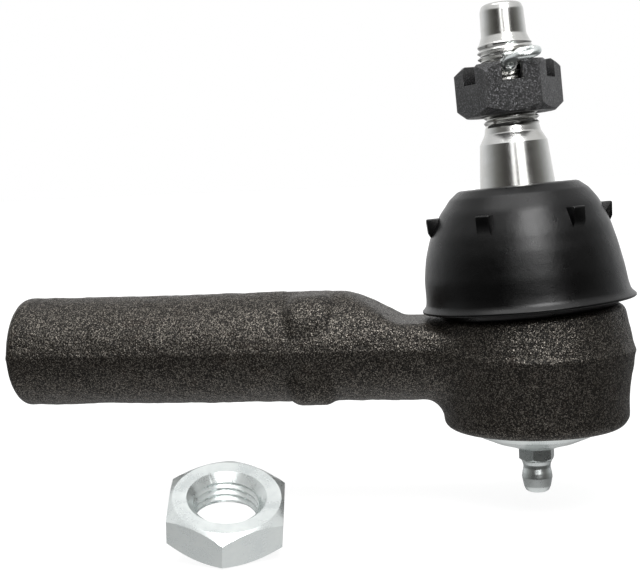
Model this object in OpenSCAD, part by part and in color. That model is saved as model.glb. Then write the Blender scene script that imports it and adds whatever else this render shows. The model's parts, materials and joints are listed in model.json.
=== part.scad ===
// Outer tie rod end with a female shank, ball stud, boot, slotted nut, split pin and jam nut.
// Millimetres. The origin is the centre of the ball. +Z goes up the socket, the shank runs along -X.
// The stud, the boot and the top face of the socket lean together by stud_cant towards the shank.

/* [Socket and shank] */
// Lean of the stud and of the socket's top face towards the shank, in degrees
stud_cant = 3.6; // [0:0.2:6]
// Radius of the socket at its widest, on the forging's parting line
socket_r = 21.4; // [20.5:0.1:23]
// Height of the socket's top face above the ball centre, along the stud
socket_top = 11.5; // [11:0.1:12.5]
// Radius of the machined bore that holds the bearings
bore_r = 15.5; // [15:0.1:16.5]
// Distance from the ball centre to the open end of the shank
shank_len = 117; // [100:1:130]
// Height of the shank's section
shank_h = 24.6; // [22:0.1:26]
// Height of the shank's axis above the ball centre
shank_z = 4.6; // [3:0.1:5]
// Depth of the female thread
thread_depth = 50; // [30:1:60]
// Minor diameter of the M14 x 1.5 female thread, in the shank and in the jam nut
m14_minor_d = 12.38; // [12.2:0.01:12.6]

/* [Ball stud] */
// Diameter of the ball
ball_d = 23; // [22:0.1:23.4]
// Diameter of the stud's neck inside the boot
neck_d = 12; // [11:0.1:12.4]
// Height of the top of the taper above the ball centre
taper_top = 48; // [46:0.1:50]
// Diameter at the top of the taper
taper_d = 14.5; // [14:0.1:15]
// Half the included angle of the taper, in degrees
taper_half_angle = 5; // [4:0.1:5.5]
// Outside diameter of the stud's M12 x 1.25 thread
stud_thread_d = 12; // [11.8:0.05:12.1]
// Height of the stud's tip above the ball centre
stud_top = 77.8; // [76:0.1:80]
// How far the stud swings each way about each axis, in degrees
swing = 17; // [10:0.5:17]

/* [Boot] */
// Outside diameter of the boot's flared rim
boot_rim_d = 46; // [44:0.1:47]
// Height of the boot's flat top above the ball centre
boot_top = 38.7; // [38.4:0.1:39.2]
// Wall thickness of the boot
boot_wall = 2.2; // [1.6:0.1:2.6]

/* [Nuts and pin] */
// Width across the flats of the slotted nut
castle_flats = 19.8; // [19:0.1:20.5]
// Height of the slotted nut's underside above the ball centre
castle_z = 54; // [53:0.1:54.5]
// Height of the slotted nut
castle_h = 10.8; // [10:0.1:11]
// Depth of the nut's slots
slot_depth = 4; // [3.5:0.1:4.4]
// Width of the nut's slots
slot_w = 4.4; // [4:0.1:5]
// Turn of the slotted nut about the stud, in degrees
castle_turn = 7; // [0:1:30]
// Diameter of the split pin
pin_d = 3.1; // [2.8:0.05:3.3]
// Width across the flats of the jam nut
jam_flats = 22; // [21:0.1:24]
// Thickness of the jam nut
jam_h = 7.8; // [7:0.1:9]

/* [Hidden] */
$fn = 64;

FORGED = [0.16, 0.14, 0.13];
RUBBER = [0.05, 0.05, 0.06];
STEEL = [0.72, 0.72, 0.70];
ZINC = [0.68, 0.71, 0.75];
BLACK = [0.15, 0.15, 0.16];
SINTERED = [0.45, 0.42, 0.38];

ball_r = ball_d / 2;
neck_r = neck_d / 2;
m14_r = m14_minor_d / 2;
hex_ratio = cos(30);

// Socket: the bearings' cup, the rolled lip and the opening at the top
cup_gap = 0.05;
cup_r = ball_r + cup_gap;
seat_z0 = 3.5;
seat_z1 = 7.5;
seat_r1 = 11.5;
socket_bottom = -13.9;
flange_z0 = -12.9;
flange_z1 = -12.15;
flange_r = bore_r + 0.9;
flange_gap = 0.1;
lip_r = bore_r - 0.1;
corner_r = 2.4;
corner_c = [17.5, -11.2];
bearing_split = -0.5;
bearing_gap = 0.3;
bearing_bottom = -11.6;
grease_hole_r = 4;
// The opening clears the neck at the corner of the two swings
tilt_max = acos(cos(swing) * cos(swing));
open_base_r = neck_r / cos(tilt_max) + 0.45;

// Shank: two arcs that meet at the parting line
arc_r = 13.1;
arc_shift = arc_r - shank_h / 2;
pad_x0 = -53;
pad_x1 = -42.5;
pad_across = 24.9;
pad_drop = 0.35;
pad_round = 7.2;
slope_x0 = -41.5;
slope_x1 = -29.4;
web_x1 = -22.6;
web_top = 10.35;
web_step = 1.1;
mouth_r = 7.6;
end_round = 2.2;
drill_point = 3.6;

// Stud
taper_r = taper_d / 2;
taper_end = 35.5;
shoulder_z = 32.5;
flare_z = 24;
relief_r = 5.75;
relief_z0 = taper_top + 1.4;
thread_z0 = taper_top + 3.6;
thread_z1 = 68.3;
tip_r = 4.8;
tip_chamfer = 1.2;
hole_r = 1.75;
hole_z = castle_z + castle_h - 0.3;

// Boot
rim_z = 12.8;
rim_t = 1.1;
seal_z = socket_top + 0.05;
ring_z0 = 36;
ring_z1 = 38;
ring_out_r = 10.2;

// Cover and grease fitting
cover_rim_z = socket_bottom + 0.05;
cover_inner_r = 14;
cover_tip_z = -18.5;
cover_hub_h = 1.9;
spring_foot_z = -13.45;
cover_tip_r = 4.6;
nipple_thread_r = 3;
nipple_hex = 7;
nipple_hex_z = -21.3;
nipple_waist = [2.95, -22.6];
nipple_head = [3.3, -25];
nipple_end = [1.95, -28.4];
check_ball_r = 1.3;
check_ball_z = -26.45;
bore_hi_z = -20;
spring_wire_r = 0.18;
spring_coil_r = 1.15;
spring_turns = 6;
spring_sides = 6;
spring_rings = 60;

// Jam nut: where it lies beside the shank and how it tips
jam_at = [-59, -44.5, -21.7];
jam_tip = [25, 8.5, 7.4];

function taper_at(z) = taper_r + (taper_top - z) * tan(taper_half_angle);
function arc(c, r, a0, a1, n) = [for (i = [0:n]) let (a = a0 + (a1 - a0) * i / n)
    c + r * [cos(a), sin(a)]];
function open_r(z) = open_base_r + z * tan(tilt_max);

module canted() {
    rotate([0, -stud_cant, 0]) children();
}

module opening() {
    z0 = 2;
    z1 = socket_top + 3;
    canted() translate([0, 0, z0]) cylinder(h = z1 - z0, r1 = open_r(z0), r2 = open_r(z1));
}

// Socket and shank ----------------------------------------------------------------------

// The drum round the ball, cut off square to the leaning stud at the top
module barrel() {
    difference() {
        rotate_extrude() polygon(concat(
            [[0, 14.5], [19, 14.5], [20.1, 9], [socket_r, 2.6], [socket_r - 0.7, -2], [20.2, -6]],
            arc(corner_c, corner_r, 0, -98, 8),
            [[lip_r, socket_bottom], [0, socket_bottom]]));
        canted() translate([0, 0, socket_top + 10]) cube([80, 80, 20], center = true);
    }
}

module shank_section() {
    intersection() {
        translate([-arc_shift, 0]) circle(r = arc_r, $fn = 96);
        translate([arc_shift, 0]) circle(r = arc_r, $fn = 96);
    }
}

// Side outline of the shank and neck: it steps down to the web beside the socket
module side_outline() {
    top = shank_h + 5;
    rotate([90, 0, 0]) linear_extrude(height = 60, center = true)
        polygon([[-shank_len, -top], [-shank_len, top], [slope_x0, top], [slope_x0, shank_z + shank_h / 2],
            [slope_x0 + 2.7, 16], [slope_x0 + 6, 14.3], [slope_x0 + 9.3, 12.25],
            [slope_x1, web_top], [web_x1, web_top], [web_x1 + 2, web_top - web_step],
            [-10, web_top - web_step], [-10, -top]]);
}

module shank() {
    intersection() {
        translate([-shank_len, 0, shank_z]) rotate([0, 90, 0])
            linear_extrude(height = shank_len - 12) shank_section();
        side_outline();
        translate([-shank_len, 0, shank_z]) rotate([0, 90, 0]) rotate_extrude()
            polygon(concat([[0, 0]], arc([arc_r + 0.3 - end_round, end_round], end_round, -90, 0, 6),
                [[arc_r + 0.3, shank_len], [0, shank_len]]));
    }
}

module wrench_pad() {
    half = pad_across / 2 - pad_round;
    translate([pad_x0, 0, shank_z - pad_drop]) rotate([0, 90, 0]) linear_extrude(height = pad_x1 - pad_x0)
        union() {
            square([pad_across, 2 * half], center = true);
            square([2 * half, pad_across], center = true);
            for (sx = [-1, 1], sy = [-1, 1]) translate([sx * half, sy * half]) circle(r = pad_round);
        }
}

module female_thread() {
    translate([-shank_len, 0, shank_z]) rotate([0, 90, 0]) {
        translate([0, 0, -1]) cylinder(h = thread_depth + 1, r = m14_r);
        translate([0, 0, thread_depth]) cylinder(h = drill_point, r1 = m14_r, r2 = 0);
        translate([0, 0, -0.01]) cylinder(h = mouth_r - m14_r + 0.01, r1 = mouth_r, r2 = m14_r);
    }
}

module cavity() {
    shelf = [flange_r + flange_gap, flange_z1 + flange_gap];
    rotate_extrude() polygon([[0, flange_z0], [shelf[0], flange_z0], shelf, [bore_r, shelf[1]],
        [bore_r, seat_z0], [seat_r1, seat_z1], [0, seat_z1]]);
    translate([0, 0, socket_bottom - 1]) cylinder(h = 2.5, r = lip_r);
    opening();
}

module socket_housing() {
    color(FORGED) difference() {
        union() {
            barrel();
            shank();
            wrench_pad();
        }
        cavity();
        female_thread();
    }
}

module upper_bearing() {
    color(SINTERED) difference() {
        rotate_extrude() polygon([[0, bearing_split], [bore_r, bearing_split], [bore_r, seat_z0],
            [seat_r1, seat_z1], [0, seat_z1]]);
        sphere(r = cup_r);
        opening();
    }
}

module lower_bearing() {
    color(SINTERED) difference() {
        translate([0, 0, bearing_bottom])
            cylinder(h = bearing_split - bearing_gap - bearing_bottom, r = bore_r - cup_gap);
        sphere(r = cup_r);
        translate([0, 0, bearing_bottom - 1]) cylinder(h = 5, r = grease_hole_r);
    }
}

// Dished washer that presses the lower bearing up against the ball
module preload_spring() {
    thick = 0.6;
    crown_z = bearing_bottom - 0.02;
    color(STEEL) rotate_extrude() polygon([[12.6, spring_foot_z], [12.6, spring_foot_z + thick],
        [5.6, crown_z], [5.6, crown_z - thick]]);
}

module cover_plate() {
    hub_z = cover_tip_z + cover_hub_h;
    rim_r = lip_r - 0.1;
    color(ZINC) rotate_extrude() polygon([[flange_r, flange_z1], [flange_r, flange_z0],
        [rim_r, flange_z0], [rim_r, cover_rim_z], [cover_tip_r, cover_tip_z],
        [nipple_thread_r, cover_tip_z], [nipple_thread_r, hub_z], [cover_tip_r + 0.6, hub_z],
        [cover_inner_r, flange_z0], [cover_inner_r + 0.2, flange_z1]]);
}

module grease_fitting() {
    head = [2.85, -27.3];
    color(ZINC) difference() {
        union() {
            translate([0, 0, cover_tip_z - 0.5]) cylinder(h = 2.9, r = nipple_thread_r);
            translate([0, 0, nipple_hex_z])
                cylinder(h = cover_tip_z - nipple_hex_z, r = nipple_hex / 2 / hex_ratio, $fn = 6);
            rotate_extrude() polygon([[0, nipple_hex_z], [3.4, nipple_hex_z], nipple_waist,
                [nipple_waist[0], nipple_waist[1] - 0.5], [3.25, -24.2], nipple_head, head,
                [2.45, -28.1], nipple_end, [0, nipple_end[1]]]);
        }
        translate([0, 0, -26.6]) cylinder(h = bore_hi_z + 26.6, r = 1.5);
        translate([0, 0, -27.8]) cylinder(h = 1.2, r1 = 0.7, r2 = 1.5);
        translate([0, 0, -29]) cylinder(h = 1.3, r = 0.7);
        translate([0, 0, bore_hi_z - 0.1]) cylinder(h = 6, r = 0.9);
    }
}

module fitting_check_ball() {
    color(STEEL) translate([0, 0, check_ball_z]) sphere(r = check_ball_r);
}

// Wound wire between the check ball and the step in the fitting
module fitting_spring() {
    z0 = check_ball_z + check_ball_r + spring_wire_r + 0.05;
    z1 = bore_hi_z - spring_wire_r - 0.05;
    function centre(i) = let (a = 360 * spring_turns * i / spring_rings)
        [spring_coil_r * cos(a), spring_coil_r * sin(a), z0 + (z1 - z0) * i / spring_rings];
    points = [for (i = [0:spring_rings]) for (k = [0:spring_sides - 1])
        let (a = 360 * spring_turns * i / spring_rings, b = 360 * k / spring_sides)
        centre(i) + spring_wire_r * [cos(a) * cos(b), sin(a) * cos(b), sin(b)]];
    sides = [for (i = [0:spring_rings - 1]) for (k = [0:spring_sides - 1])
        let (n = spring_sides, j = (k + 1) % n)
        [i * n + k, (i + 1) * n + k, (i + 1) * n + j, i * n + j]];
    ends = [[for (k = [0:spring_sides - 1]) k],
        [for (k = [spring_sides - 1:-1:0]) spring_rings * spring_sides + k]];
    color(STEEL) polyhedron(points, concat(sides, ends));
}

// Stud, nut and pin, along the leaning axis ---------------------------------------------

module ball_stud() {
    shoulder_r = taper_at(taper_end);
    color(STEEL) canted() difference() {
        union() {
            sphere(r = ball_r);
            rotate_extrude() polygon([[0, 6], [neck_r, 6], [neck_r, flare_z], [6.6, 28.5],
                [shoulder_r, shoulder_z], [shoulder_r, taper_end], [taper_r, taper_top],
                [relief_r, relief_z0], [relief_r, thread_z0], [stud_thread_d / 2, thread_z0 + 0.5],
                [stud_thread_d / 2, thread_z1 - 0.6], [tip_r, thread_z1 + 0.6],
                [tip_r, stud_top - tip_chamfer], [tip_r - tip_chamfer, stud_top], [0, stud_top]]);
        }
        rotate([0, 0, castle_turn]) translate([0, 0, hole_z]) rotate([90, 0, 0])
            cylinder(h = 20, r = hole_r, center = true);
    }
}

module dust_boot() {
    rim_r = boot_rim_d / 2;
    lip_in = taper_at(ring_z1) + 0.1;
    color(RUBBER) canted() rotate_extrude() polygon([
        [lip_in, boot_top], [12.6, boot_top], [14.6, boot_top - 1.4], [17.1, 34.3], [19.4, 29],
        [20.6, 25], [21.4, 20.6], [21.9, 16], [rim_r, rim_z + rim_t], [rim_r, rim_z],
        [19.6, rim_z], [18.8, seal_z], [16.8, seal_z], [17.4, rim_z + 2],
        [21.9 - boot_wall, 17.5], [21.4 - boot_wall, 20.6], [20.6 - boot_wall, 24.6],
        [19.4 - boot_wall, 28], [17.1 - boot_wall, 32], [12.4, 34.6], [9, 35],
        [9, ring_z0], [ring_out_r, ring_z0], [ring_out_r, ring_z1], [lip_in, ring_z1]]);
}

module boot_neck_ring() {
    color(ZINC) canted() translate([0, 0, ring_z0]) difference() {
        cylinder(h = ring_z1 - ring_z0, r = ring_out_r);
        translate([0, 0, -1]) cylinder(h = 4, r = taper_at(ring_z0) + 0.08);
    }
}

module castle_nut() {
    corner = castle_flats / 2 / hex_ratio;
    face_r = castle_flats / 2 * 0.96;
    drop = (corner - face_r + 0.1) * tan(40);
    color(BLACK) canted() rotate([0, 0, castle_turn]) translate([0, 0, castle_z]) difference() {
        intersection() {
            cylinder(h = castle_h, r = corner, $fn = 6);
            rotate_extrude() polygon([[0, 0], [face_r, 0], [corner + 0.1, drop],
                [corner + 0.1, castle_h - drop], [face_r, castle_h], [0, castle_h]]);
        }
        translate([0, 0, -1]) cylinder(h = castle_h + 2, r = stud_thread_d / 2);
        for (a = [0, 60, 120]) rotate([0, 0, a])
            translate([-slot_w / 2, -20, castle_h - slot_depth]) cube([slot_w, 40, slot_depth + 1]);
    }
}

// Straight legs through the slots and the stud, and the eye folded flat on top of the nut
module cotter_pin() {
    wire_r = 0.85;
    eye_r = 2.5;
    eye_at = [3.1, -9.2, castle_z + castle_h + wire_r + 0.1];
    front = -10.4;
    back = 12.5;
    color(ZINC) canted() rotate([0, 0, castle_turn]) {
        translate([0, back, hole_z]) rotate([90, 0, 0]) cylinder(h = back - front, r = pin_d / 2);
        translate(eye_at) rotate_extrude() translate([eye_r, 0]) circle(r = wire_r, $fn = 24);
    }
}

module jam_nut() {
    corner = jam_flats / 2 / hex_ratio;
    face_r = jam_flats / 2 * 0.95;
    drop = (corner - face_r + 0.1) * tan(30);
    sink = 7.7;
    h = jam_h;
    color(ZINC) translate(jam_at) rotate([jam_tip[0], 0, 0]) rotate([0, jam_tip[1], 0])
        rotate([0, 0, jam_tip[2]]) difference() {
            intersection() {
                rotate([0, 0, 30]) cylinder(h = h, r = corner, center = true, $fn = 6);
                translate([0, 0, -h / 2]) rotate_extrude() polygon([[0, 0], [face_r, 0],
                    [corner + 0.1, drop], [corner + 0.1, h - drop], [face_r, h], [0, h]]);
            }
            cylinder(h = h + 2, r = m14_r, center = true);
            for (top = [0, 1]) mirror([0, 0, top]) translate([0, 0, -h / 2 - 0.01])
                cylinder(h = sink - m14_r + 0.01, r1 = sink, r2 = m14_r);
        }
}

socket_housing();
upper_bearing();
lower_bearing();
preload_spring();
cover_plate();
grease_fitting();
fitting_check_ball();
fitting_spring();
ball_stud();
dust_boot();
boot_neck_ring();
castle_nut();
cotter_pin();
jam_nut();
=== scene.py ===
"""Looks of the tie rod end: the camera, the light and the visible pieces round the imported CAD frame.

Shapes are worked out in millimetres in the row frame, whose origin is the ball centre, and are put
into Blender in metres. The stud, nut, pin and boot are made upright and then leaned by the stud's
own axis, which the frame gives.
"""

import json
import math

import bmesh
import bpy
import numpy as np
import openvdb as vdb
from mathutils import Matrix, Vector


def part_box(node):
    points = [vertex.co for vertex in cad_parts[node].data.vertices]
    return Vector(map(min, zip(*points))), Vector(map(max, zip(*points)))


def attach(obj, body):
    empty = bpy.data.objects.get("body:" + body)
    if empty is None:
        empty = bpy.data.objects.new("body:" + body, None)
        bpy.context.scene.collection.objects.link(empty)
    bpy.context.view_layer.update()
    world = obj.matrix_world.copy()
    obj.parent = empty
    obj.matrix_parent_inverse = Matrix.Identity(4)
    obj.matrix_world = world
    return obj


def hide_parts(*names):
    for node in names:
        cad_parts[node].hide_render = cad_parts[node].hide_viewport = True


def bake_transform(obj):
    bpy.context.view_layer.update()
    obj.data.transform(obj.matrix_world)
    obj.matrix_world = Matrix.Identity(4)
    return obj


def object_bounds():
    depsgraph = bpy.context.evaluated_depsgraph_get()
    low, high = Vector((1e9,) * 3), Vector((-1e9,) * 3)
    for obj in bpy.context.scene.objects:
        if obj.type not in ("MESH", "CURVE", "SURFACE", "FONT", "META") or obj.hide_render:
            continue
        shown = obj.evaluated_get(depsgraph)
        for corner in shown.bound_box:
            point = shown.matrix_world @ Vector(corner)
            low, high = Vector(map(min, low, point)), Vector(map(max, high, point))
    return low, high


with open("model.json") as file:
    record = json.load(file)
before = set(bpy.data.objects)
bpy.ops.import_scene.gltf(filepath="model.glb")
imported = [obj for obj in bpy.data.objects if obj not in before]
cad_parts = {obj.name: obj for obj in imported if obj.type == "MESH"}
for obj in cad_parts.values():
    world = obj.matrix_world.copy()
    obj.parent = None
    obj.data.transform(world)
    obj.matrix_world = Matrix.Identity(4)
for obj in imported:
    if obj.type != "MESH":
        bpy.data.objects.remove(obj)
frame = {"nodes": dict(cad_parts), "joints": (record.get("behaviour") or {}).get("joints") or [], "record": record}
CAD_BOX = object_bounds()
MM = 0.001
TAU = 2 * math.pi


# --- Places taken from the frame --------------------------------------------------------------

def joint(name):
    return next(j for j in frame["joints"] if j["name"] == name)


def box_mm(node):
    low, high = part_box(node)
    return np.array(low) / MM, np.array(high) / MM


def mount(name):
    return next(m for m in frame["record"]["mounts"] if m["name"] == name)


STUD_AXIS = Vector(joint("stud_spin")["axis"])
CANT = math.atan2(-STUD_AXIS.x, STUD_AXIS.z)
LEAN = Matrix.Rotation(-CANT, 4, "Y")
PIN_AXIS = LEAN.inverted() @ Vector(joint("split_pin_pull")["axis"])
NUT_TURN = math.atan2(PIN_AXIS.x, -PIN_AXIS.y)
JAM_CENTRE = Vector(mount("jam_nut_thread")["pos_m"]) / MM
JAM_TIP = (25, 8.5, 7.4)
SHANK_Z = mount("tie_rod_thread")["pos_m"][2] / MM
SHANK_X0 = box_mm("socket_housing")[0][0]
SOCKET_TOP = 11.5


# --- Meshes -----------------------------------------------------------------------------------

def make_object(name, verts, faces, matrix=Matrix.Identity(4), sharp=35):
    """A mesh object from points in mm. Edges sharper than the given angle stay sharp."""
    mesh = bpy.data.meshes.new(name)
    mesh.from_pydata(np.asarray(verts).tolist(), [], faces)
    mesh.transform(Matrix.Scale(MM, 4) @ matrix)
    mesh.validate()
    finish_mesh(mesh, sharp)
    obj = bpy.data.objects.new(name, mesh)
    bpy.context.scene.collection.objects.link(obj)
    return obj


def finish_mesh(mesh, sharp):
    mesh.shade_smooth()
    mesh.set_sharp_from_angle(angle=math.radians(sharp))


def merge_close(obj, distance=0.0005):
    bm = bmesh.new()
    bm.from_mesh(obj.data)
    bmesh.ops.remove_doubles(bm, verts=bm.verts, dist=distance * MM)
    bmesh.ops.dissolve_degenerate(bm, edges=bm.edges, dist=distance * MM)
    bmesh.ops.recalc_face_normals(bm, faces=bm.faces)
    bm.to_mesh(obj.data)
    bm.free()


def apply_modifiers(obj):
    graph = bpy.context.evaluated_depsgraph_get()
    mesh = bpy.data.meshes.new_from_object(obj.evaluated_get(graph))
    obj.modifiers.clear()
    obj.data = mesh


def cut(obj, tool, operation="DIFFERENCE"):
    """Cuts obj with another closed mesh, which is used up."""
    step = obj.modifiers.new("cut", "BOOLEAN")
    step.object = tool
    step.operation = operation
    step.solver = "MANIFOLD"
    apply_modifiers(obj)
    bpy.data.objects.remove(tool)


def soften_edges(obj, width, angle=30, segments=2):
    """Small bevels on the sharp edges."""
    step = obj.modifiers.new("bevel", "BEVEL")
    step.width = width * MM
    step.segments = segments
    step.limit_method = "ANGLE"
    step.angle_limit = math.radians(angle)
    step.use_clamp_overlap = True
    step.miter_outer = "MITER_ARC"
    apply_modifiers(obj)


def even_shading(obj, sharp=30):
    """Weighs the normals by face area, so that flat faces next to small bevels look flat."""
    finish_mesh(obj.data, sharp)
    step = obj.modifiers.new("shading", "WEIGHTED_NORMAL")
    step.mode = "FACE_AREA"
    step.weight = 60
    step.keep_sharp = True
    apply_modifiers(obj)


def rounded(points, closed=False, steps=6):
    """Replaces each corner (r, z, radius) of an outline by an arc."""
    out = []
    count = len(points)
    for i, (x, y, radius) in enumerate(points):
        here = np.array([x, y], float)
        if radius <= 0 or (not closed and i in (0, count - 1)):
            out.append(tuple(here))
            continue
        before = np.array(points[i - 1][:2], float) - here
        after = np.array(points[(i + 1) % count][:2], float) - here
        before_len, after_len = np.linalg.norm(before), np.linalg.norm(after)
        before, after = before / before_len, after / after_len
        half = math.acos(max(-1, min(1, before @ after))) / 2
        back = min(radius / math.tan(half), 0.49 * before_len, 0.49 * after_len)
        radius = back * math.tan(half)
        centre = here + (before + after) / np.linalg.norm(before + after) * radius / math.sin(half)
        a0 = math.atan2(*(here + before * back - centre)[::-1])
        a1 = math.atan2(*(here + after * back - centre)[::-1])
        turn = (a1 - a0 + math.pi) % TAU - math.pi
        for k in range(steps + 1):
            a = a0 + turn * k / steps
            out.append((centre[0] + radius * math.cos(a), centre[1] + radius * math.sin(a)))
    return out


def smooth_line(points, steps=8):
    """A Catmull-Rom curve through the points."""
    p = [np.array(q, float) for q in points]
    p = [2 * p[0] - p[1]] + p + [2 * p[-1] - p[-2]]
    out = []
    for i in range(1, len(p) - 2):
        for k in range(steps):
            t = k / steps
            out.append(0.5 * (2 * p[i] + (p[i + 1] - p[i - 1]) * t
                              + (2 * p[i - 1] - 5 * p[i] + 4 * p[i + 1] - p[i + 2]) * t ** 2
                              + (3 * p[i] - p[i - 1] - 3 * p[i + 1] + p[i + 2]) * t ** 3))
    out.append(p[-2])
    return [tuple(q) for q in out]


def densify(line, longest):
    """Adds points along the straight stretches of an open outline."""
    out = [line[0]]
    for (r0, z0), (r1, z1) in zip(line, line[1:]):
        count = max(1, math.ceil(math.hypot(r1 - r0, z1 - z0) / longest))
        out += [(r0 + (r1 - r0) * k / count, z0 + (z1 - z0) * k / count) for k in range(1, count + 1)]
    return out


def grid_faces(rows, n, closed=False):
    faces = []
    for i in range(rows if closed else rows - 1):
        j = (i + 1) % rows
        for k in range(n):
            m = (k + 1) % n
            faces.append((i * n + k, i * n + m, j * n + m, j * n + k))
    return faces


def lathe(name, outline, closed=False, n=128, shape=None, **kw):
    """Turns an outline of (r, z) about Z. shape(theta, r, z) may move the points."""
    theta = np.arange(n) * TAU / n
    r, z = np.array(outline, float).T
    rr, zz, tt = np.repeat(r, n), np.repeat(z, n), np.tile(theta, len(r))
    if shape:
        rr, zz = shape(tt, rr, zz)
    verts = np.stack([rr * np.cos(tt), rr * np.sin(tt), zz], 1)
    faces = grid_faces(len(r), n, closed)
    obj = make_object(name, verts, faces, **kw)
    if not closed:
        merge_close(obj)
        finish_mesh(obj.data, kw.get("sharp", 35))
    return obj


THREAD_FORM = [(0.0, 0.0), (0.0625, 0.0), (0.4375, 1.0), (0.5625, 1.0), (0.9375, 0.0)]


def thread_rows(z0, z1, pitch, r_root, r_crest, n, fade=1.0, plain=None):
    """Rings that follow a helix, for a V thread from z0 to z1 that fades to a plain radius at both ends."""
    plain = r_root if plain is None else plain
    theta = np.arange(n) / n
    rows = []
    turns = range(math.floor(z0 / pitch) - 1, math.ceil(z1 / pitch) + 1)
    for turn in turns:
        for place, height in THREAD_FORM:
            z = (turn + place + theta) * pitch
            inside = np.clip(z, z0, z1)
            ease = np.clip(np.minimum(inside - z0, z1 - inside) / (fade * pitch), 0, 1)
            thread_r = r_root + (r_crest - r_root) * height
            rows.append((plain + (thread_r - plain) * ease ** 0.7, inside))
    return rows


def threaded_solid(name, below, thread, above, n=96, **kw):
    """A turned solid with a thread between two plain outlines. Each turn joins on to the next one."""
    theta = np.arange(n) * TAU / n
    rows = [(np.full(n, r), np.full(n, z)) for r, z in below] + thread
    rows += [(np.full(n, r), np.full(n, z)) for r, z in above]
    verts = []
    for r, z in rows:
        verts.append(np.stack([r * np.cos(theta), r * np.sin(theta), z], 1))
    first, last, step = len(below), len(below) + len(thread) - 1, len(THREAD_FORM)
    faces = []
    for i in range(len(rows) - 1):
        winding = first <= i < last
        for k in range(n - 1 if winding else n):
            m = (k + 1) % n
            faces.append((i * n + k, i * n + m, (i + 1) * n + m, (i + 1) * n + k))
        if winding and i + 1 + step <= last:
            faces.append((i * n + n - 1, (i + step) * n, (i + step + 1) * n, (i + 1) * n + n - 1))
    obj = make_object(name, np.concatenate(verts), faces, **kw)
    merge_close(obj, 0.002)
    finish_mesh(obj.data, kw.get("sharp", 35))
    return obj


def prism(name, sides, radius, z0, z1, turn=0.0, **kw):
    ring = [(radius * math.cos(turn + TAU * k / sides), radius * math.sin(turn + TAU * k / sides))
            for k in range(sides)]
    verts = [(x, y, z0) for x, y in ring] + [(x, y, z1) for x, y in ring]
    faces = [tuple(range(sides))[::-1], tuple(range(sides, 2 * sides))]
    faces += [(k, (k + 1) % sides, sides + (k + 1) % sides, sides + k) for k in range(sides)]
    return make_object(name, verts, faces, **kw)


def block(name, size, centre, matrix=Matrix.Identity(4)):
    corners = [(x, y, z) for x in (-1, 1) for y in (-1, 1) for z in (-1, 1)]
    verts = [tuple(c + s * h / 2 for c, s, h in zip(centre, k, size)) for k in corners]
    faces = [(0, 1, 3, 2), (4, 6, 7, 5), (0, 4, 5, 1), (2, 3, 7, 6), (0, 2, 6, 4), (1, 5, 7, 3)]
    return make_object(name, verts, faces, matrix)


def sweep(name, path, section, up, **kw):
    """Sweeps a closed section of (side, out) along a path. up gives each point's out direction."""
    path = np.array(path, float)
    along = np.gradient(path, axis=0)
    along /= np.linalg.norm(along, axis=1)[:, None]
    verts = []
    for p, t, u in zip(path, along, np.array(up, float)):
        side = np.cross(t, u)
        side /= np.linalg.norm(side)
        out = np.cross(side, t)
        verts += [p + side * a + out * b for a, b in section]
    n = len(section)
    faces = grid_faces(len(path), n)
    faces += [tuple(range(n))[::-1], tuple(range(n * (len(path) - 1), n * len(path)))]
    return make_object(name, verts, faces, **kw)


# --- Distance fields for the forging ----------------------------------------------------------

def union_round(a, b, r):
    return np.maximum(r, np.minimum(a, b)) - np.hypot(np.maximum(r - a, 0), np.maximum(r - b, 0))


def meet_round(a, b, r):
    return np.minimum(-r, np.maximum(a, b)) + np.hypot(np.maximum(r + a, 0), np.maximum(r + b, 0))


def outline_field(r, z, points):
    """Signed distance to a closed outline in the (r, z) plane, negative inside."""
    best = np.full(r.shape, 1e9, np.float32)
    inside = np.zeros(r.shape, bool)
    for (x0, y0), (x1, y1) in zip(points, points[1:] + points[:1]):
        ex, ey = x1 - x0, y1 - y0
        t = np.clip(((r - x0) * ex + (z - y0) * ey) / (ex * ex + ey * ey), 0, 1)
        best = np.minimum(best, (r - x0 - t * ex) ** 2 + (z - y0 - t * ey) ** 2)
        if y0 != y1:
            crosses = ((y0 > z) != (y1 > z)) & (r < (x1 - x0) * (z - y0) / (y1 - y0) + x0)
            inside ^= crosses
    return np.where(inside, -1, 1) * np.sqrt(best)


def lattice_noise(shape, step, seed):
    """Smooth random values between -1 and 1, one lattice point every step voxels."""
    coarse = [int(s / step) + 3 for s in shape]
    field = np.random.default_rng(seed).uniform(-1, 1, coarse).astype(np.float32)
    for axis, size in enumerate(shape):
        at = np.arange(size) / step
        low = at.astype(int)
        t = (at - low).astype(np.float32)
        t = (t * t * (3 - 2 * t)).reshape([-1 if a == axis else 1 for a in range(3)])
        field = np.take(field, low, axis) * (1 - t) + np.take(field, low + 1, axis) * t
    return field


SLOPE_X, WEB_X = -41.5, -22.6


def drum_field(x, y, z, level):
    """The drum round the ball. level is the height above its leaning top face."""
    side = rounded([(0, 15, 0), (18.9, 15, 0), (20.1, 9, 8), (21.45, 2.7, 2), (20.7, -2, 6), (20.1, -6, 6),
                    (19.9, -13.55, 2.5), (15.4, -13.95, 0.3), (15.4, -12.5, 0), (0, -12.5, 0)])
    return meet_round(outline_field(np.hypot(x, y), z, side), level, 1.4)


def shank_field(x, y, dz):
    """Two arcs that meet at the parting line, with a rounded end at the mouth."""
    arc_r, shift, mouth_gap, inner_x = 13.1, 0.8, 0.18, -12
    upper = np.hypot(y, dz + shift) - arc_r
    lower = np.hypot(y, dz - shift) - arc_r
    shank = meet_round(upper, lower, 0.12)
    shank = meet_round(shank, SHANK_X0 + mouth_gap - x, 2.0)
    return np.maximum(shank, x - inner_x)


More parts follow.
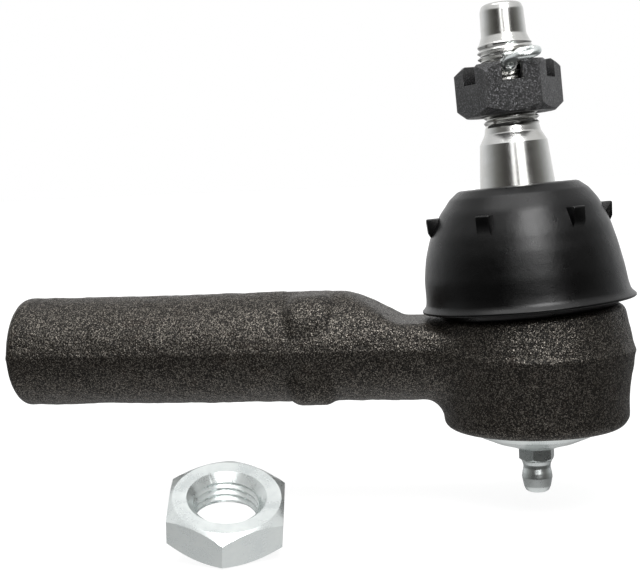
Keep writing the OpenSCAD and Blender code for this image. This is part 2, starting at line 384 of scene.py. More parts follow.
def pad_field(x, y, dz):
    """The wrench pad: a rounded square with drafted ends."""
    centre_x, half_long, half_wide, corner_r, drop, draft = -47.9, 5.0, 12.25, 7.2, 0.3, 0.5
    side_y = np.abs(y) - (half_wide - corner_r)
    side_z = np.abs(dz + drop) - (half_wide - corner_r)
    outer = np.hypot(np.maximum(side_y, 0), np.maximum(side_z, 0))
    pad = outer + np.minimum(np.maximum(side_y, side_z), 0) - corner_r
    ends = (np.abs(x - centre_x) - half_long) * 0.8 + draft * (pad + 1)
    return meet_round(pad, ends, 1.6)


def shank_top(x):
    """Height of the shank's top, which slopes down to a web beside the socket."""
    run = np.maximum(x - SLOPE_X, 0)
    slope = SHANK_Z + 12.4 - 0.258 * run ** 1.3
    web = 10.2
    blended = (slope + web + np.sqrt((slope - web) ** 2 + 0.3)) / 2
    top = blended + 3 * np.clip((SLOPE_X - x) / 4, 0, 1)
    return np.where(x > WEB_X, np.minimum(top, web - 0.55 * (x - WEB_X)), top)


def skin_depth(x, z, level, voxel):
    """How deep the rough skin lies, calmer at the rolled lip, the faced top and the shank's end."""
    waves = ((1.1, 0.10), (2.6, 0.12), (7, 0.16), (25, 0.25))
    rough = sum(depth * lattice_noise(x.shape, size / voxel, seed)
                for seed, (size, depth) in enumerate(waves, 1))
    calm = np.clip((z + 12.6) / 1.2, 0.12, 1) * np.clip((-level - 0.4) / 1.0, 0.15, 1)
    calm = np.where(x < -30, np.clip((x - SHANK_X0 - 0.6) / 3, 0.25, 1), calm)
    return (rough - 0.05) * calm * 0.75


def forging_mesh(name):
    """The socket, neck and shank as one rough forged skin."""
    voxel = 0.4
    margin = 2
    low, high = box_mm("socket_housing")
    low, high = low - margin, high + margin
    axes = [np.arange(a, b, voxel, dtype=np.float32) for a, b in zip(low, high)]
    x, y, z = np.meshgrid(*axes, indexing="ij")
    level = (z * math.cos(CANT) - x * math.sin(CANT)) - SOCKET_TOP
    dz = z - SHANK_Z
    shank = union_round(shank_field(x, y, dz), pad_field(x, y, dz), 0.6)
    shank = meet_round(shank, (z - shank_top(x)) * 0.93, 0.4 + 1.8 * np.clip((x - SLOPE_X) / 8, 0, 1))
    field = union_round(drum_field(x, y, z, level), shank, 4.0)
    # Trimmed flash along the parting line of the drum and shank
    part_z = SHANK_Z - 1.9 * np.clip((x + 21) / 12, 0, 1)
    field = field - 0.16 * np.exp(-((z - part_z) / 0.55) ** 2)
    field = field + skin_depth(x, z, level, voxel)

    band = voxel * 3
    grid = vdb.FloatGrid(band)
    grid.copyFromArray(np.clip(field, -band, band).astype(np.float32))
    points, quads = grid.convertToQuads()
    verts = np.array(points) * voxel + low
    return make_object(name, verts, [tuple(int(i) for i in q) for q in quads], sharp=60)


# --- Materials --------------------------------------------------------------------------------

def set_stops(ramp, stops):
    """Fills a colour ramp. Each stop is (place, grey or colour)."""
    points = ramp.elements
    while len(points) < len(stops):
        points.new(0.5)
    for point, (at, shade) in zip(points, stops):
        point.position = at
        point.color = (*shade, 1) if isinstance(shade, tuple) else (shade, shade, shade, 1)


class Shader:
    """A Principled material with short calls for procedural nodes in object coordinates."""

    def __init__(self, name, **values):
        self.material = bpy.data.materials.new(name)
        self.material.use_nodes = True
        self.tree = self.material.node_tree
        self.surface = self.tree.nodes["Principled BSDF"]
        for socket, value in values.items():
            self.surface.inputs[socket.replace("_", " ")].default_value = value
        self.place = self.node("ShaderNodeTexCoord").outputs["Object"]

    def node(self, kind, links=(), **settings):
        made = self.tree.nodes.new(kind)
        for key, value in settings.items():
            setattr(made, key, value)
        for socket, source in dict(links).items():
            if hasattr(source, "is_linked"):
                self.tree.links.new(source, made.inputs[socket])
            else:
                made.inputs[socket].default_value = source
        return made

    def stretched(self, scale, turn=(0, 0, 0)):
        made = self.node("ShaderNodeMapping", {"Vector": self.place, "Scale": scale, "Rotation": turn})
        return made.outputs["Vector"]

    def noise(self, size_mm, detail=4, rough=0.55, place=None):
        made = self.node("ShaderNodeTexNoise", {"Vector": place or self.place, "Scale": 1 / (size_mm * MM),
                                                "Detail": detail, "Roughness": rough})
        return made.outputs["Fac"]

    def cells(self, size_mm, output="Distance"):
        """Small cells: Distance is 0 at their centres, and Color is a random one for each."""
        made = self.node("ShaderNodeTexVoronoi", {"Vector": self.place, "Scale": 1 / (size_mm * MM)})
        return made.outputs[output]

    def flecks(self, size_mm, start, full):
        """Scattered grains: 1 on a few cells picked at random and 0 on the others."""
        return self.ramp(self.cells(size_mm, "Color"), (start, 0.0), (full, 1.0))

    def ramp(self, value, *stops):
        """Maps a value to colours or greys. Each stop is (place, grey or colour)."""
        made = self.node("ShaderNodeValToRGB", {"Fac": value})
        set_stops(made.color_ramp, stops)
        return made.outputs["Color"]

    def calc(self, a, b, operation="ADD", clamp=False):
        made = self.node("ShaderNodeMath", {0: a, 1: b}, operation=operation, use_clamp=clamp)
        return made.outputs[0]

    def mix(self, factor, a, b, blend="MIX"):
        made = self.node("ShaderNodeMix", {"Factor": factor}, data_type="RGBA", blend_type=blend)
        for socket, source in ((made.inputs[6], a), (made.inputs[7], b)):
            if hasattr(source, "is_linked"):
                self.tree.links.new(source, socket)
            else:
                socket.default_value = (*source, 1)
        return made.outputs[2]

    def edges(self, reach):
        """Where edges stand proud, for wear: 0 on flat faces and 1 where pointiness is 0.5 + reach."""
        geometry = self.node("ShaderNodeNewGeometry")
        return self.ramp(geometry.outputs["Pointiness"], (0.5, 0.0), (0.5 + reach, 1.0))

    def bump(self, height, strength, distance_mm, below=None):
        links = {"Height": height, "Strength": strength, "Distance": distance_mm * MM}
        if below:
            links["Normal"] = below
        return self.node("ShaderNodeBump", links).outputs["Normal"]

    def finish(self, colour=None, rough=None, normal=None, metal=None):
        for socket, source in (("Base Color", colour), ("Roughness", rough), ("Normal", normal),
                               ("Metallic", metal)):
            if source is not None:
                self.tree.links.new(source, self.surface.inputs[socket])
        return self.material


def forged_steel():
    """Shot-blasted brown-black forging: bright bare grains, shallow pits and a faint rusty bloom."""
    s = Shader("forged_steel", IOR=1.5, Specular_IOR_Level=0.15)
    grain = s.noise(0.38, detail=4, rough=0.7)
    bare = s.flecks(0.19, 0.54, 0.96)
    patches = s.noise(13, detail=4, rough=0.6)
    base = s.ramp(patches, (0.3, (0.0080, 0.0064, 0.0050)), (0.7, (0.0160, 0.0130, 0.0100)))
    colour = s.mix(s.ramp(grain, (0.54, 0.0), (0.68, 1.0)), base, (0.058, 0.048, 0.036))
    rust = s.ramp(s.noise(5, detail=6, rough=0.7), (0.56, 0.0), (0.78, 0.5))
    colour = s.mix(rust, colour, (0.040, 0.018, 0.009))
    colour = s.mix(bare, colour, (0.27, 0.247, 0.215))
    rough = s.mix(bare, s.ramp(grain, (0.38, 0.55), (0.62, 0.36)), (0.3, 0.3, 0.3))
    normal = s.bump(s.cells(0.45), 0.6, 0.12)
    normal = s.bump(grain, 0.9, 0.14, normal)
    return s.finish(colour, rough, normal, bare)


def rubber():
    """Black moulded rubber with a slight bloom."""
    s = Shader("rubber", IOR=1.37)
    speck = s.noise(0.25, detail=3, rough=0.7)
    film = s.noise(8, detail=5)
    colour = s.ramp(film, (0.35, (0.0012, 0.0012, 0.0016)), (0.7, (0.0026, 0.0026, 0.0030)))
    rough = s.ramp(s.noise(3.5, detail=5), (0.3, 0.26), (0.75, 0.36))
    normal = s.bump(speck, 0.5, 0.06)
    normal = s.bump(s.noise(5, detail=2), 0.2, 0.4, normal)
    return s.finish(colour, rough, normal)


def turned_rings(s, size_mm):
    """Fine marks round the leaning stud's own axis, as a lathe or grinder leaves."""
    upright = s.stretched((0.02, 0.02, 1.0), (0, CANT, 0))
    return s.noise(size_mm, detail=5, rough=0.7, place=upright)


def ground_steel():
    s = Shader("ground_steel", Metallic=1.0, Anisotropic=0.55)
    rings = turned_rings(s, 0.12)
    stain = s.noise(5, detail=4)
    colour = s.ramp(stain, (0.3, (0.60, 0.595, 0.57)), (0.7, (0.70, 0.70, 0.69)))
    rough = s.ramp(s.calc(rings, s.calc(stain, 0.3, "MULTIPLY")), (0.4, 0.13), (0.9, 0.24))
    normal = s.bump(rings, 0.12, 0.02)
    return s.finish(colour, rough, normal)


def black_phosphate():
    """Blackened steel: fine sparkle on the flats, grey where the edges are rubbed."""
    s = Shader("black_phosphate", IOR=1.5, Specular_IOR_Level=0.14)
    grain = s.noise(0.36, detail=3, rough=0.7)
    bare = s.flecks(0.20, 0.58, 0.96)
    patches = s.noise(5, detail=4)
    base = s.ramp(patches, (0.35, (0.004, 0.004, 0.0045)), (0.7, (0.011, 0.011, 0.012)))
    colour = s.mix(s.ramp(grain, (0.55, 0.0), (0.68, 1.0)), base, (0.030, 0.030, 0.034))
    colour = s.mix(s.edges(0.06), colour, (0.14, 0.14, 0.14))
    colour = s.mix(bare, colour, (0.22, 0.22, 0.23))
    rough = s.ramp(grain, (0.35, 0.42), (0.65, 0.25))
    return s.finish(colour, rough, s.bump(grain, 0.8, 0.10), bare)


def zinc():
    """Bright zinc plate with a faint blue-green cast and soft clouding."""
    s = Shader("zinc", Metallic=0.78)
    cloud = s.noise(4, detail=5, rough=0.6)
    fine = s.noise(0.18, detail=4, rough=0.7)
    colour = s.ramp(cloud, (0.3, (0.72, 0.765, 0.765)), (0.7, (0.84, 0.88, 0.865)))
    rough = s.ramp(s.calc(cloud, s.calc(fine, 0.3, "MULTIPLY")), (0.4, 0.22), (0.95, 0.36))
    normal = s.bump(fine, 0.15, 0.008)
    normal = s.bump(s.noise(4, detail=1), 0.15, 0.03, normal)
    return s.finish(colour, rough, normal)


def sintered_iron():
    s = Shader("sintered_iron", Metallic=0.8)
    pores = s.cells(0.35)
    # The colour darkens towards each pit's centre: painted shade in the pores
    colour = s.ramp(pores, (0.1, (0.10, 0.09, 0.08)), (0.5, (0.30, 0.27, 0.24)))
    return s.finish(colour, s.ramp(pores, (0.1, 0.8), (0.6, 0.45)), s.bump(pores, 0.4, 0.05))


def spring_steel():
    s = Shader("spring_steel", Metallic=1.0)
    drawn = s.noise(0.2, detail=4)
    colour = s.ramp(drawn, (0.3, (0.36, 0.36, 0.38)), (0.7, (0.50, 0.50, 0.50)))
    return s.finish(colour, s.ramp(drawn, (0.3, 0.25), (0.7, 0.4)), s.bump(drawn, 0.15, 0.02))


FINISHES = {make.__name__: make for make in (forged_steel, rubber, ground_steel, black_phosphate, zinc,
                                             sintered_iron, spring_steel)}
MATERIALS = {}


def material(slot):
    if slot not in MATERIALS:
        MATERIALS[slot] = FINISHES[slot]()
    return MATERIALS[slot]


def place(obj, slot, body, *nodes):
    """Gives a piece its material, its body and the CAD nodes that it stands for."""
    obj.data.materials.clear()
    obj.data.materials.append(material(slot))
    if body:
        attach(obj, body)
    if nodes:
        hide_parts(*nodes)
    return obj


# --- Housing ----------------------------------------------------------------------------------

BORE_R, BORE_TOP = 15.5, 3.5
SEAT_R, SEAT_TOP = 11.5, 7.5
LIP_R = 15.4
SHELF = (16.5, -12.9, -12.05)
M14_MINOR, M14_MAJOR, M14_PITCH = 6.19, 7.0, 1.5
MOUTH_R = 7.6
THREAD_DEPTH, DRILL_POINT = 50, 3.6
OPENING = [(7.9, 2), (13.5, 14.5)]


def female_thread(name, matrix, depth, drill):
    """The tapped hole's own shape, as a tool to cut with. Its mouth is at local z 0."""
    thread = thread_rows((MOUTH_R - M14_MINOR) * 0.6, depth - 1, M14_PITCH, M14_MINOR, M14_MAJOR, 96)
    return threaded_solid(name, [(0, -1), (M14_MINOR, -1)], thread, [(M14_MINOR, depth), (0, depth + drill)],
                          matrix=matrix)


def socket_housing():
    obj = forging_mesh("forged_socket_and_shank")
    bottom = -18
    shelf_r, shelf_z0, shelf_z1 = SHELF
    cut(obj, lathe("cavity", [(0, bottom), (LIP_R, bottom), (LIP_R, shelf_z0), (shelf_r, shelf_z0),
                              (shelf_r, shelf_z1), (BORE_R, shelf_z1), (BORE_R, BORE_TOP),
                              (SEAT_R, SEAT_TOP), (0, SEAT_TOP)], n=160))
    (r0, z0), (r1, z1) = OPENING
    cut(obj, lathe("opening", [(0, z0), (r0, z0), (r1, z1), (0, z1)], n=128, matrix=LEAN))
    mouth = Matrix.Translation((SHANK_X0, 0, SHANK_Z)) @ Matrix.Rotation(math.pi / 2, 4, "Y")
    cut(obj, female_thread("tapped_hole", mouth, THREAD_DEPTH, DRILL_POINT))
    sink = MOUTH_R - M14_MINOR + 0.3
    cone = [(0, -1), (MOUTH_R + 1, -1), (M14_MINOR - 0.3, sink), (0, sink)]
    cut(obj, lathe("mouth", cone, n=96, matrix=mouth))
    finish_mesh(obj.data, 50)
    return place(obj, "forged_steel", "housing", "socket_housing")


# --- Boot -------------------------------------------------------------------------------------

SEAM_Z = 22.8
EARS, EAR_TURN, EAR_TOP = 6, 9, 33.4
BOOT_TOP = 38.7


def sag(theta, r, z):
    """The soft dome bulges a little towards the shank between its rim and its collar."""
    return r - 0.55 * np.cos(theta) * np.sin(math.pi * np.clip((z - 13.6) / 22, 0, 1)), z


def boot_lower():
    """Rim, seal lip and the lower wall, up to the hidden seam with the dome."""
    outer = [(20.98, SEAM_Z, 0), (21.45, 20, 20), (21.75, 16, 12), (22.05, 14.4, 3), (22.97, 13.5, 0.2),
             (22.97, 13.05, 0.2), (22.2, 12.88, 0.3), (19.7, 12.8, 0.4), (18.85, 11.6, 0.25),
             (16.9, 11.6, 0.25), (17.4, 14.5, 1.5), (19.6, 17.8, 6), (19.2, 20.6, 20), (18.78, SEAM_Z, 0)]
    rows = densify(rounded(outer, steps=7), 0.8)
    obj = lathe("dust_boot_skirt", rows, closed=True, n=144, shape=sag, matrix=LEAN, sharp=40)
    place(obj, "rubber", None, "dust_boot")
    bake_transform(obj)
    return obj


def boot_upper():
    """The dome, its six moulded ears, and the collar that grips the taper."""
    outer = [(18.78, SEAM_Z, 0), (18.3, 25.2, 20), (17.2, 28.2, 14), (14.6, 32.4, 8), (12.2, 34.5, 2),
             (9.1, 35.0, 0.6), (9.1, 36.0, 0), (10.25, 36.0, 0), (10.25, 38.02, 0), (8.25, 38.02, 0.1),
             (8.12, 38.75, 0.1), (8.9, 38.78, 0.3), (9.6, BOOT_TOP, 0.6), (12.8, BOOT_TOP, 1.8),
             (14.9, 37.0, 3), (17.1, 34.1, 9), (19.35, 29.3, 16), (20.55, 25.1, 25), (20.98, SEAM_Z, 0)]
    rows = densify(rounded(outer, steps=7), 0.7)
    obj = lathe("dust_boot_dome", rows, closed=True, n=144, shape=sag, matrix=LEAN, sharp=40)
    sagged = LEAN @ Matrix.Translation((-0.35, 0, 0))
    for k in range(EARS):
        turn = Matrix.Rotation(math.radians(EAR_TURN + 360 / EARS * k), 4, "Z")
        cut(obj, boot_ear("ear", sagged @ turn), "UNION")
    finish_mesh(obj.data, 40)
    place(obj, "rubber", None, "dust_boot")
    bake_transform(obj)
    return obj


def boot_ear(name, matrix):
    """A moulded ear: flat on top, running down into the dome."""
    half, tip_r, foot = 1.5, 20.05, 28.9
    outline = [(16.2, EAR_TOP), (tip_r - 0.2, EAR_TOP), (tip_r, EAR_TOP - 0.3), (tip_r - 0.2, foot + 1.4),
               (19.1, foot), (16.2, foot)]
    verts = [(r, y, z) for y in (-half, half) for r, z in outline]
    n = len(outline)
    faces = [tuple(range(n)), tuple(range(2 * n - 1, n - 1, -1))]
    faces += [(k, n + k, n + (k + 1) % n, (k + 1) % n) for k in range(n)]
    obj = make_object(name, verts, faces, matrix)
    merge_close(obj)
    soften_edges(obj, 0.22, 30, 3)
    return obj


# --- Stud, slotted nut and split pin ----------------------------------------------------------

BALL_R = 11.5
HOLE_R = 1.75
CASTLE_FLATS, CASTLE_Z, CASTLE_H = 19.8, 54.0, 10.8
SLOT_W, SLOT_DEPTH = 4.4, 4.0
HOLE_Z = CASTLE_Z + CASTLE_H - 0.3
STUD_TURN = LEAN @ Matrix.Rotation(NUT_TURN, 4, "Z")


def ball_stud():
    neck_r = 6.0
    ball_end = math.asin(neck_r / BALL_R)
    ball = [(BALL_R * math.sin(a), -BALL_R * math.cos(a))
            for a in np.linspace(0, math.pi - ball_end, 48)]
    neck = rounded([(neck_r, 10.2, 0), (neck_r, 24, 8), (6.6, 28.5, 5), (8.32, 32.5, 0.5), (8.32, 35.5, 0.3),
                    (7.25, 47.9, 0.3), (6.05, 50.1, 1.5), (5.85, 51.2, 1)])
    thread = thread_rows(51.4, 68.9, 1.25, 5.3, 5.98, 144, fade=1.2, plain=5.8)
    tip = rounded([(5.8, 69.0, 0), (5.5, 69.3, 0.3), (4.86, 70.9, 1.6), (4.68, 76.2, 2), (4.25, 77.4, 0.9),
                   (3.4, 77.78, 0.8), (0, 77.8, 0)])
    obj = threaded_solid("ball_stud_ground", ball + densify(neck, 1.2), thread, tip, n=144,
                         matrix=LEAN, sharp=28)
    hole = lathe("cross_hole", [(0, -8), (HOLE_R + 0.9, -8), (HOLE_R + 0.9, -6.3), (HOLE_R, -5.4),
                                (HOLE_R, 5.4), (HOLE_R + 0.9, 6.3), (HOLE_R + 0.9, 8), (0, 8)], n=48,
                 matrix=STUD_TURN @ Matrix.Translation((0, 0, HOLE_Z)) @ Matrix.Rotation(math.pi / 2, 4, "X"))
    cut(obj, hole)
    finish_mesh(obj.data, 28)
    return place(obj, "ground_steel", "stud", "ball_stud")


def chamfered_hex(name, flats, height, face, angle, turn=0.0, matrix=Matrix.Identity(4)):
    """A hexagon with its corners turned away at both ends. Its foot is at local z 0."""
    corner = flats / 2 / math.cos(math.pi / 6)
    drop = (corner - face + 0.1) * math.tan(math.radians(angle))
    obj = prism(name, 6, corner, 0, height, turn, matrix=matrix)
    shape = [(0, -0.01), (face, -0.01), (corner + 0.1, drop), (corner + 0.1, height - drop),
             (face, height + 0.01), (0, height + 0.01)]
    cut(obj, lathe("chamfers", shape, n=240, matrix=matrix), "INTERSECT")
    return obj


def castle_nut():
    here = STUD_TURN @ Matrix.Translation((0, 0, CASTLE_Z))
    obj = chamfered_hex("castle_nut_slotted", CASTLE_FLATS, CASTLE_H, face=9.5, angle=40, matrix=here)
    bore = [(0, -1), (7.6, -1), (6.02, 0.6), (6.02, CASTLE_H - 0.6), (6.9, CASTLE_H + 0.3),
            (6.9, CASTLE_H + 1), (0, CASTLE_H + 1)]
    cut(obj, lathe("bore", bore, n=96, matrix=here))
    for k in range(3):
        turn = here @ Matrix.Rotation(math.radians(60 * k), 4, "Z")
        size = (SLOT_W, 30, SLOT_DEPTH + 1)
        cut(obj, block("slot", size, (0, 0, CASTLE_H - SLOT_DEPTH + size[2] / 2), turn))
    soften_edges(obj, 0.16, 30, 2)
    even_shading(obj)
    return place(obj, "black_phosphate", "stud", "castle_nut")


def cotter_pin():
    """Two half-round legs through the stud, and the eye folded flat over the nut."""
    leg_r = 1.45
    wire = [(0.92 * math.cos(a), 0.90 * math.sin(a)) for a in np.linspace(0, TAU, 20, endpoint=False)]
    top = CASTLE_Z + CASTLE_H + 1.05
    eye_x, eye_y = 3.2, -9.6
    # The eye: from the leg's end round the loop and back to the other leg
    loop = [(eye_x + 2.35 * math.cos(a), eye_y + 2.2 * math.sin(a),
             top + 0.30 * math.cos(a) + 0.62 * math.sin(a)) for a in np.radians(np.linspace(205, 505, 40))]
    start = [(-0.35, -5.2, HOLE_Z - 0.05), (-0.35, -6.6, HOLE_Z), (-0.1, -7.9, HOLE_Z + 0.6)]
    end = [(0.75, -7.5, HOLE_Z + 0.75), (0.45, -6.5, HOLE_Z + 0.3), (0.35, -5.2, HOLE_Z + 0.1)]
    path = smooth_line(start + loop[2:-2:3] + end, 6)
    obj = sweep("split_pin_eye_and_legs", path, wire, [(0, 0, 1)] * len(path), matrix=STUD_TURN, sharp=50)
    for side in (-1, 1):
        cut(obj, half_leg("leg", leg_r, side, -6.5, 12.4 if side < 0 else 11.4, STUD_TURN), "UNION")
    finish_mesh(obj.data, 40)
    return place(obj, "zinc", "split_pin", "cotter_pin")


def half_leg(name, radius, side, y0, y1, matrix):
    """One half-round leg along Y, at the height of the stud's hole."""
    gap = 0.05
    ring = [(radius * math.cos(a), side * (gap + radius * 0.97 * math.sin(a)))
            for a in np.linspace(0, math.pi, 14)]
    rows = [(y0, 0.75), (y0 + 0.5, 0.97), (y0 + 1, 1), (y1 - 0.8, 1), (y1 - 0.25, 0.9), (y1, 0.65)]
    verts = [(x * s, y, HOLE_Z + side * gap + (z - side * gap) * s) for y, s in rows for x, z in ring]
    n = len(ring)
    faces = grid_faces(len(rows), n)
    faces += [tuple(range(n))[::-1], tuple(range(n * (len(rows) - 1), n * len(rows)))]
    obj = make_object(name, verts, faces, matrix)
    merge_close(obj, 0.0001)
    return obj


# --- Cover plate and grease fitting -----------------------------------------------------------

FITTING_FLATS = 7


def cover_plate():
    outline = [(3.02, -18.05, 0.1), (4.4, -18.6, 0.3), (5.6, -18.1, 1.5), (9.0, -17.1, 4),
               (12.5, -15.6, 5), (15.25, -14.0, 0.8), (15.3, -12.86, 0.1), (16.4, -12.86, 0.1),
               (16.4, -12.15, 0.2), (14.3, -12.15, 0.5), (12.0, -13.75, 2), (5.4, -16.3, 1),
               (3.02, -16.4, 0.15)]
    obj = lathe("pressed_cover_plate", rounded(outline, closed=True), closed=True, n=160, sharp=40)
    return place(obj, "zinc", "housing", "cover_plate")


def grease_fitting():
    hex_r = FITTING_FLATS / 2 / math.cos(math.pi / 6)
    way = [(0.68, -27.85), (1.5, -26.65), (1.5, -20), (0.9, -19.9)]
    obj = prism("grease_fitting_body", 6, hex_r, -21.25, -18.1, math.radians(19.8))
    corner = [(0, -21.3), (3.45, -21.3), (4.12, -20.75), (4.12, -18), (0, -18)]
    cut(obj, lathe("corner_turning", corner, n=96), "INTERSECT")
    shank = rounded([(0, -16.3, 0), (2.98, -16.3, 0.2), (2.98, -19.5, 0), (2.98, -21, 0), (3.35, -21.35, 0.3),
                     (3.0, -22.3, 0.8), (2.95, -23.0, 1.0), (3.2, -24.1, 1.2), (3.32, -25.1, 1.2),
                     (2.9, -27.2, 1.6), (2.5, -28.05, 0.6), (1.95, -28.38, 0.3), (0.9, -28.38, 0.1),
                     (0.68, -28.0, 0.1), *[(r, z, 0) for r, z in way], (0.9, -16.3, 0)])
    # The ring-shaped part only: the first point, on the axis, is there to round the next one
    cut(obj, lathe("turned_nipple", [p for p in shank if p[0] > 0], closed=True, n=96), "UNION")
    drill = [(0, -28), (0.68, -28), *way, (0.9, -16), (0, -16)]
    cut(obj, lathe("grease_way", drill, n=48))
    soften_edges(obj, 0.08, 30, 2)
    even_shading(obj)
    return place(obj, "zinc", "housing", "grease_fitting")


# --- Jam nut ----------------------------------------------------------------------------------

JAM_FLATS, JAM_H, JAM_MOUTH_R = 21.97, 7.8, 7.7


def jam_nut():
    tip = [Matrix.Rotation(math.radians(a), 4, axis) for a, axis in zip(JAM_TIP, "XYZ")]
    here = Matrix.Translation(JAM_CENTRE) @ tip[0] @ tip[1] @ tip[2]
    foot = here @ Matrix.Translation((0, 0, -JAM_H / 2))
    obj = chamfered_hex("jam_nut_threaded", JAM_FLATS, JAM_H, face=10.43, angle=30,
                        turn=math.pi / 6, matrix=foot)
    sink = JAM_MOUTH_R - M14_MINOR
    thread = thread_rows(sink * 0.55, JAM_H - sink * 0.55, M14_PITCH, M14_MINOR, M14_MAJOR, 144, fade=0.4)
    cut(obj, threaded_solid("tapped_hole", [(0, -1), (M14_MINOR, -1)], thread,
                            [(M14_MINOR, JAM_H + 1), (0, JAM_H + 1)], n=144, matrix=foot))
    for end in (0, 1):
        side = foot @ Matrix.Translation((0, 0, JAM_H * end)) @ Matrix.Scale(-1 if end else 1, 4, (0, 0, 1))
        cone = [(0, -1), (JAM_MOUTH_R + 1, -1), (M14_MINOR - 0.3, sink + 0.3), (0, sink + 0.3)]
        cut(obj, lathe("countersink", cone, n=144, matrix=side))
    soften_edges(obj, 0.22, 34, 3)
    even_shading(obj)
    return place(obj, "zinc", "loose_nut", "jam_nut")


# --- Camera, light and floor ------------------------------------------------------------------

def camera():
    yaw, pitch, roll = (math.radians(a) for a in (9.803, 4.457, 2.387))
    turn = Matrix.Rotation(yaw, 4, "Z") @ Matrix.Rotation(-pitch, 4, "X") @ Matrix.Rotation(roll, 4, "Y")
    away, aside, below = 276.92 * MM, 46.666 * MM, -16.785 * MM
    spot = -(turn @ Vector((aside, away, below)))
    data = bpy.data.cameras.new("camera")
    data.lens = 71.44
    data.sensor_width = 36
    data.clip_start, data.clip_end = 0.01, 50
    obj = bpy.data.objects.new("camera", data)
    bpy.context.scene.collection.objects.link(obj)
    obj.matrix_world = Matrix.Translation(spot) @ turn @ Matrix.Rotation(math.pi / 2, 4, "X")
    bpy.context.scene.camera = obj


def panel(name, spot, aim, width, height, radiance):
    """A flat light that looks equally bright from anywhere in front of it."""
    data = bpy.data.lights.new(name, "AREA")
    data.shape = "RECTANGLE"
    data.size, data.size_y = width, height
    data.energy = radiance * math.pi * width * height
    obj = bpy.data.objects.new(name, data)
    bpy.context.scene.collection.objects.link(obj)
    obj.location = spot
    obj.rotation_euler = (Vector(aim) - Vector(spot)).to_track_quat("-Z", "Y").to_euler()
    return obj


VIEWER_SIDE = 9.8
TOWARD_VIEWER = (math.sin(math.radians(VIEWER_SIDE)), -math.cos(math.radians(VIEWER_SIDE)), 0)


def studio_world():
    """A pale room behind the object that darkens towards the viewer's side. The backdrop itself is white."""
    world = bpy.data.worlds.new("studio")
    bpy.context.scene.world = world
    world.use_nodes = True
    tree = world.node_tree
    nodes, link = tree.nodes, tree.links.new
    room = nodes["Background"]
    coords = nodes.new("ShaderNodeTexCoord")
    along = nodes.new("ShaderNodeVectorMath")
    along.operation = "DOT_PRODUCT"
    along.inputs[1].default_value = TOWARD_VIEWER
    link(coords.outputs["Generated"], along.inputs[0])
    span = nodes.new("ShaderNodeMapRange")
    span.inputs["From Min"].default_value = -1
    link(along.outputs["Value"], span.inputs["Value"])
    ramp = nodes.new("ShaderNodeValToRGB")
    link(span.outputs["Result"], ramp.inputs["Fac"])
    shades = [(0.0, (1.0, 1.0, 1.0)), (0.21, (0.82, 0.83, 0.84)), (0.42, (0.48, 0.49, 0.49)),
              (0.63, (0.20, 0.20, 0.19)), (0.86, (0.055, 0.052, 0.048)), (1.0, (0.04, 0.038, 0.036))]
    set_stops(ramp.color_ramp, shades)
    # Dim just below the horizon, grey further down, and a pale ceiling
    split = nodes.new("ShaderNodeSeparateXYZ")
    link(coords.outputs["Generated"], split.inputs[0])
    shade = ramp.outputs["Color"]
    for low, high, tone, blend in ((0.04, -0.16, 0.3, "MULTIPLY"), (-0.44, -0.76, 0.84, "MIX"),
                                   (0.36, 0.6, 0.8, "MIX")):
        reach = nodes.new("ShaderNodeMapRange")
        reach.inputs["From Min"].default_value = low
        reach.inputs["From Max"].default_value = high
        link(split.outputs["Z"], reach.inputs["Value"])
        layer = nodes.new("ShaderNodeMix")
        layer.data_type = "RGBA"
        layer.blend_type = blend
        link(reach.outputs["Result"], layer.inputs["Factor"])
        link(shade, layer.inputs[6])
        layer.inputs[7].default_value = (tone, tone, tone, 1)
        shade = layer.outputs[2]
    link(shade, room.inputs["Color"])
    backdrop = nodes.new("ShaderNodeBackground")
    backdrop.inputs["Color"].default_value = (1, 1, 1, 1)
    ray = nodes.new("ShaderNodeLightPath")
    both = nodes.new("ShaderNodeMixShader")
    link(ray.outputs["Is Camera Ray"], both.inputs["Fac"])
    link(room.outputs["Background"], both.inputs[1])
    link(backdrop.outputs["Background"], both.inputs[2])
    link(both.outputs["Shader"], nodes["World Output"].inputs["Surface"])


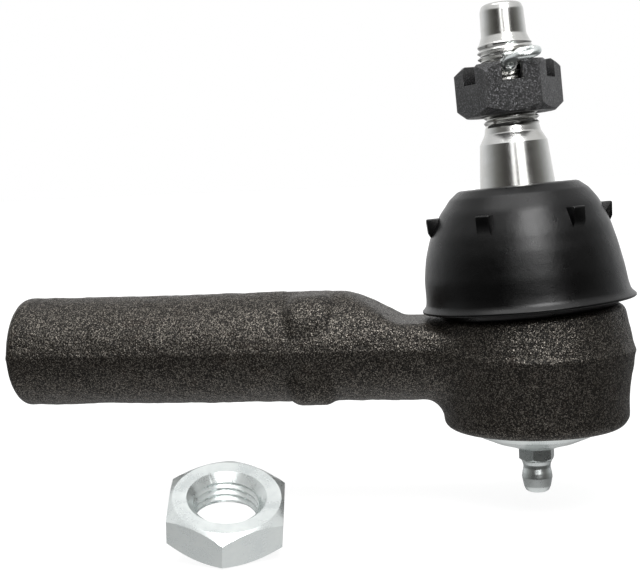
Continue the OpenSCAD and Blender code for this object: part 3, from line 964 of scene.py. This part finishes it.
def light():
    """A broad light overhead. The two tall cards and the softbox in front are there to be reflected only."""
    studio_world()
    panel("overhead", (-0.05, -0.16, 0.8), (-0.02, 0, 0.03), 0.8, 0.5, 2.6)
    away, foot_z, card_high = 0.9, 0.14, 0.36
    middle_z = foot_z + card_high / 2
    reflected = []
    for name, degrees, wide, radiance in (("card_left", -15, 0.157, 2.4), ("card_right", 11, 0.366, 3.2)):
        a = math.radians(VIEWER_SIDE + degrees)
        spot = (away * math.sin(a), -away * math.cos(a), middle_z)
        reflected.append(panel(name, spot, (0, 0, middle_z), wide, card_high, radiance))
    a, up = math.radians(VIEWER_SIDE + 8), math.radians(44)
    spot = (away * math.cos(up) * math.sin(a), -away * math.cos(up) * math.cos(a), away * math.sin(up))
    reflected.append(panel("softbox", spot, (0, 0, 0.02), 0.38, 0.42, 14))
    for obj in reflected:
        obj.visible_diffuse = False
    bpy.context.scene.view_settings.view_transform = "Standard"


def floor():
    """A wide plain floor just under the lowest piece, paler with distance so that it meets the backdrop."""
    low = min(CAD_BOX[0][2], CAD_BOX[1][2])
    obj = block("floor", (60000, 60000, 1), (0, 0, low / MM - 0.6))
    mat = Shader("floor_paint", Roughness=0.9, Emission_Strength=1.0)
    reach = mat.node("ShaderNodeVectorMath", {0: mat.place}, operation="LENGTH").outputs["Value"]
    far = mat.calc(mat.calc(reach, 0.15, "SUBTRACT"), 1.2, "DIVIDE", clamp=True)
    glow = mat.ramp(far, (0.0, 0.82), (1.0, 1.0))
    mat.tree.links.new(glow, mat.surface.inputs["Emission Color"])
    tone = mat.ramp(far, (0.0, 0.3), (1.0, 0.2))
    obj.data.materials.append(mat.finish(tone))
    obj.visible_diffuse = False
    obj.visible_glossy = False


# --- Scene ------------------------------------------------------------------------------------

camera()
light()
floor()
for build in (socket_housing, boot_lower, boot_upper, ball_stud, castle_nut, cotter_pin, cover_plate,
              grease_fitting, jam_nut):
    build()
# The inner pieces keep their CAD shapes and only get materials
INNER = {"upper_bearing": "sintered_iron", "lower_bearing": "sintered_iron",
         "preload_spring": "spring_steel", "fitting_check_ball": "spring_steel",
         "fitting_spring": "spring_steel", "boot_neck_ring": "spring_steel"}
for node, slot in INNER.items():
    piece = frame["nodes"][node]
    piece.data.materials.clear()
    piece.data.materials.append(material(slot))
